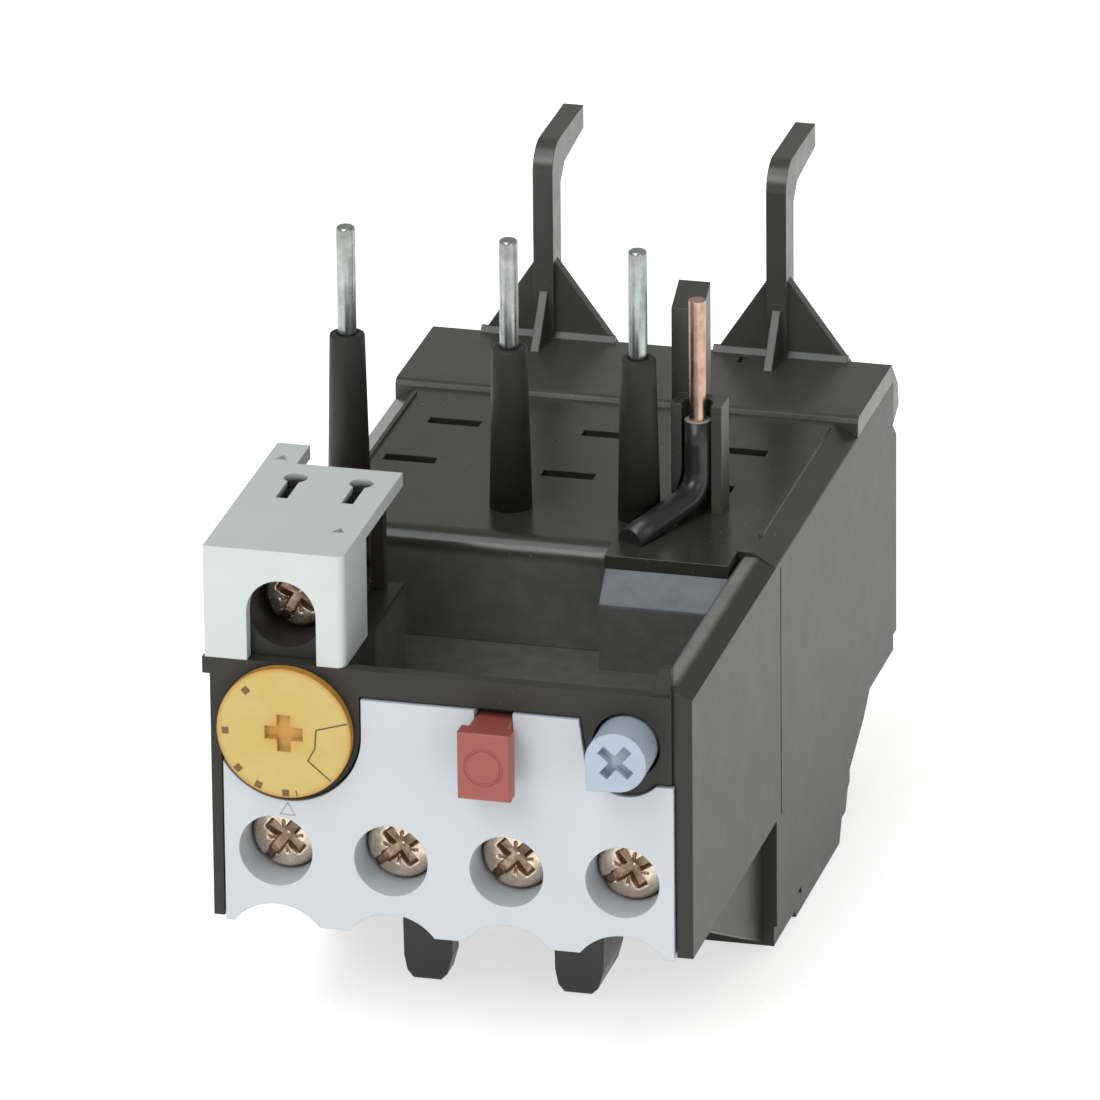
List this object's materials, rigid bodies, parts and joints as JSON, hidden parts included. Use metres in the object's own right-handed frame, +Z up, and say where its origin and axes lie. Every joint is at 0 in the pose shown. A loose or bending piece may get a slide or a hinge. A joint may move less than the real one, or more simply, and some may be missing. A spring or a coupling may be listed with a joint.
{
  "type": "thermal overload relay",
  "caption": "Three-pole thermal overload relay that plugs under a contactor: setting dial, stop and reset buttons, screw terminals, plug-in pins and latch hooks.",
  "frame": {"origin": "middle of the flat underside of the rear block, on the plane that the relay stands on", "axes": "+X to the right as the front is faced, +Y from the front face to the back, +Z up towards the contactor"},
  "size_m": [0.0457, 0.0951, 0.0666],
  "materials": {
    "black_plastic": "moulded, glossy",
    "grey_plastic": "fine moulded",
    "cover_plastic": "fine moulded",
    "inner_plastic": "moulded",
    "dial_yellow": "moulded, slightly waxy",
    "stop_red": "moulded",
    "reset_blue": "moulded",
    "sleeve_black": "satin",
    "zinc_screw": "yellow zinc plated",
    "plated_steel": "tinned",
    "brass_strap": "tinned brass",
    "copper": "bare copper",
    "heater_alloy": "oxidised",
    "spring_steel": "drawn wire"
  },
  "bodies": {
    "housing": {"front_housing": "black_plastic", "terminal_block": "inner_plastic", "rear_housing": "black_plastic", "top_cover": "black_plastic", "rear_cap": "black_plastic", "front_plate": "grey_plastic", "aux_terminal_cover": "cover_plastic", "aux_terminal_block": "inner_plastic", "control_bar": "brass_strap", "aux_bar": "brass_strap", "stop_spring": "spring_steel", "reset_spring": "spring_steel", "control_lead_core": "copper", "control_lead_sleeve": "sleeve_black", "lead_guide": "black_plastic", "rocker_bearing": "inner_plastic", "fixed_contacts": "brass_strap", "load_bar_1": "brass_strap", "line_pin_1": "plated_steel", "pin_sleeve_1": "sleeve_black", "line_strap_1": "brass_strap", "bimetal_1": "plated_steel", "heater_1": "heater_alloy", "load_bar_2": "brass_strap", "line_pin_2": "plated_steel", "pin_sleeve_2": "sleeve_black", "line_strap_2": "brass_strap", "bimetal_2": "plated_steel", "heater_2": "heater_alloy", "load_bar_3": "brass_strap", "line_pin_3": "plated_steel", "pin_sleeve_3": "sleeve_black", "line_strap_3": "brass_strap", "bimetal_3": "plated_steel", "heater_3": "heater_alloy"},
    "dial": {"setting_dial": "dial_yellow", "dial_spindle": "dial_yellow"},
    "cam_slide": {"cam_follower": "inner_plastic"},
    "stop_slider": {"stop_button": "stop_red"},
    "reset_collar": {"reset_selector": "inner_plastic"},
    "reset_plunger": {"reset_knob": "reset_blue"},
    "screw_1": {"terminal_screw_1": "zinc_screw"},
    "cage_1": {"terminal_cage_1": "plated_steel"},
    "screw_2": {"terminal_screw_2": "zinc_screw"},
    "cage_2": {"terminal_cage_2": "plated_steel"},
    "screw_3": {"terminal_screw_3": "zinc_screw"},
    "cage_3": {"terminal_cage_3": "plated_steel"},
    "screw_4": {"terminal_screw_4": "zinc_screw"},
    "cage_4": {"terminal_cage_4": "plated_steel"},
    "screw_aux": {"aux_screw": "zinc_screw"},
    "cage_aux": {"aux_cage": "plated_steel"},
    "trip_slide_body": {"trip_slide": "inner_plastic"},
    "return_slide_body": {"return_slide": "inner_plastic"},
    "rocker": {"trip_rocker": "inner_plastic"},
    "contact_carrier": {"contact_slider": "inner_plastic"}
  },
  "joints": [
    {"name": "dial_turn", "type": "hinge", "parent": "housing", "child": "dial", "pos_m": [-0.0153, -0.046, 0.03255], "axis": [0, -1, 0], "range_deg": [0, 130.13]},
    {"name": "cam_slide_shift", "type": "slide", "parent": "housing", "child": "cam_slide", "axis": [1, 0, 0], "range_m": [0, 0.00091]},
    {"name": "stop_press", "type": "slide", "parent": "housing", "child": "stop_slider", "axis": [0, 1, 0], "range_m": [0, 0.0018], "stiffness_N_per_m": 400, "springref_m": -0.001, "deforming": ["stop_spring"]},
    {"name": "reset_select", "type": "hinge", "parent": "housing", "child": "reset_collar", "pos_m": [0.01637, -0.046, 0.03385], "axis": [0, -1, 0], "range_deg": [0, 90]},
    {"name": "reset_press", "type": "slide", "parent": "reset_collar", "child": "reset_plunger", "axis": [0, 1, 0], "range_m": [0, 0.0017], "stiffness_N_per_m": 400, "springref_m": -0.001, "deforming": ["reset_spring"]},
    {"name": "screw_1_turn", "type": "hinge", "parent": "housing", "child": "screw_1", "pos_m": [-0.01649, -0.046, 0.0205], "axis": [0, 1, 0], "range_deg": [0, 1561.56]},
    {"name": "cage_1_lift", "type": "slide", "parent": "housing", "child": "cage_1", "axis": [0, -1, 0], "range_m": [0, 0.0026]},
    {"name": "screw_2_turn", "type": "hinge", "parent": "housing", "child": "screw_2", "pos_m": [-0.00566, -0.046, 0.0205], "axis": [0, 1, 0], "range_deg": [0, 1561.56]},
    {"name": "cage_2_lift", "type": "slide", "parent": "housing", "child": "cage_2", "axis": [0, -1, 0], "range_m": [0, 0.0026]},
    {"name": "screw_3_turn", "type": "hinge", "parent": "housing", "child": "screw_3", "pos_m": [0.00517, -0.046, 0.0205], "axis": [0, 1, 0], "range_deg": [0, 1561.56]},
    {"name": "cage_3_lift", "type": "slide", "parent": "housing", "child": "cage_3", "axis": [0, -1, 0], "range_m": [0, 0.0026]},
    {"name": "screw_4_turn", "type": "hinge", "parent": "housing", "child": "screw_4", "pos_m": [0.01599, -0.046, 0.0205], "axis": [0, 1, 0], "range_deg": [0, 1561.56]},
    {"name": "cage_4_lift", "type": "slide", "parent": "housing", "child": "cage_4", "axis": [0, -1, 0], "range_m": [0, 0.0026]},
    {"name": "screw_aux_turn", "type": "hinge", "parent": "housing", "child": "screw_aux", "pos_m": [-0.0157, -0.046, 0.0433], "axis": [0, 1, 0], "range_deg": [0, 1561.56]},
    {"name": "cage_aux_lift", "type": "slide", "parent": "housing", "child": "cage_aux", "axis": [0, -1, 0], "range_m": [0, 0.0026]},
    {"name": "trip_push", "type": "slide", "parent": "housing", "child": "trip_slide_body", "axis": [1, 0, 0], "range_m": [0, 0.002], "stiffness_N_per_m": 60, "springref_m": -0.001},
    {"name": "return_push", "type": "slide", "parent": "housing", "child": "return_slide_body", "axis": [1, 0, 0], "range_m": [0, 0.002]},
    {"name": "rocker_turn", "type": "hinge", "parent": "housing", "child": "rocker", "pos_m": [0.0172, -0.0245, 0.0212], "axis": [0, -1, 0], "range_deg": [0, 9.2]},
    {"name": "contact_shift", "type": "slide", "parent": "housing", "child": "contact_carrier", "axis": [-1, 0, 0], "range_m": [0, 0.00072]}
  ],
  "couplings": [
    {"joint": "dial_turn", "follows": "cam_slide_shift", "rad_per_m": 2493.3},
    {"joint": "screw_1_turn", "follows": "cage_1_lift", "rad_per_m": 10472},
    {"joint": "screw_2_turn", "follows": "cage_2_lift", "rad_per_m": 10472},
    {"joint": "screw_3_turn", "follows": "cage_3_lift", "rad_per_m": 10472},
    {"joint": "screw_4_turn", "follows": "cage_4_lift", "rad_per_m": 10472},
    {"joint": "screw_aux_turn", "follows": "cage_aux_lift", "rad_per_m": 10472},
    {"joint": "return_push", "follows": "trip_push", "ratio": 1},
    {"joint": "rocker_turn", "follows": "trip_push", "rad_per_m": 76.923},
    {"joint": "contact_shift", "follows": "trip_push", "ratio": 0.355}
  ]
}
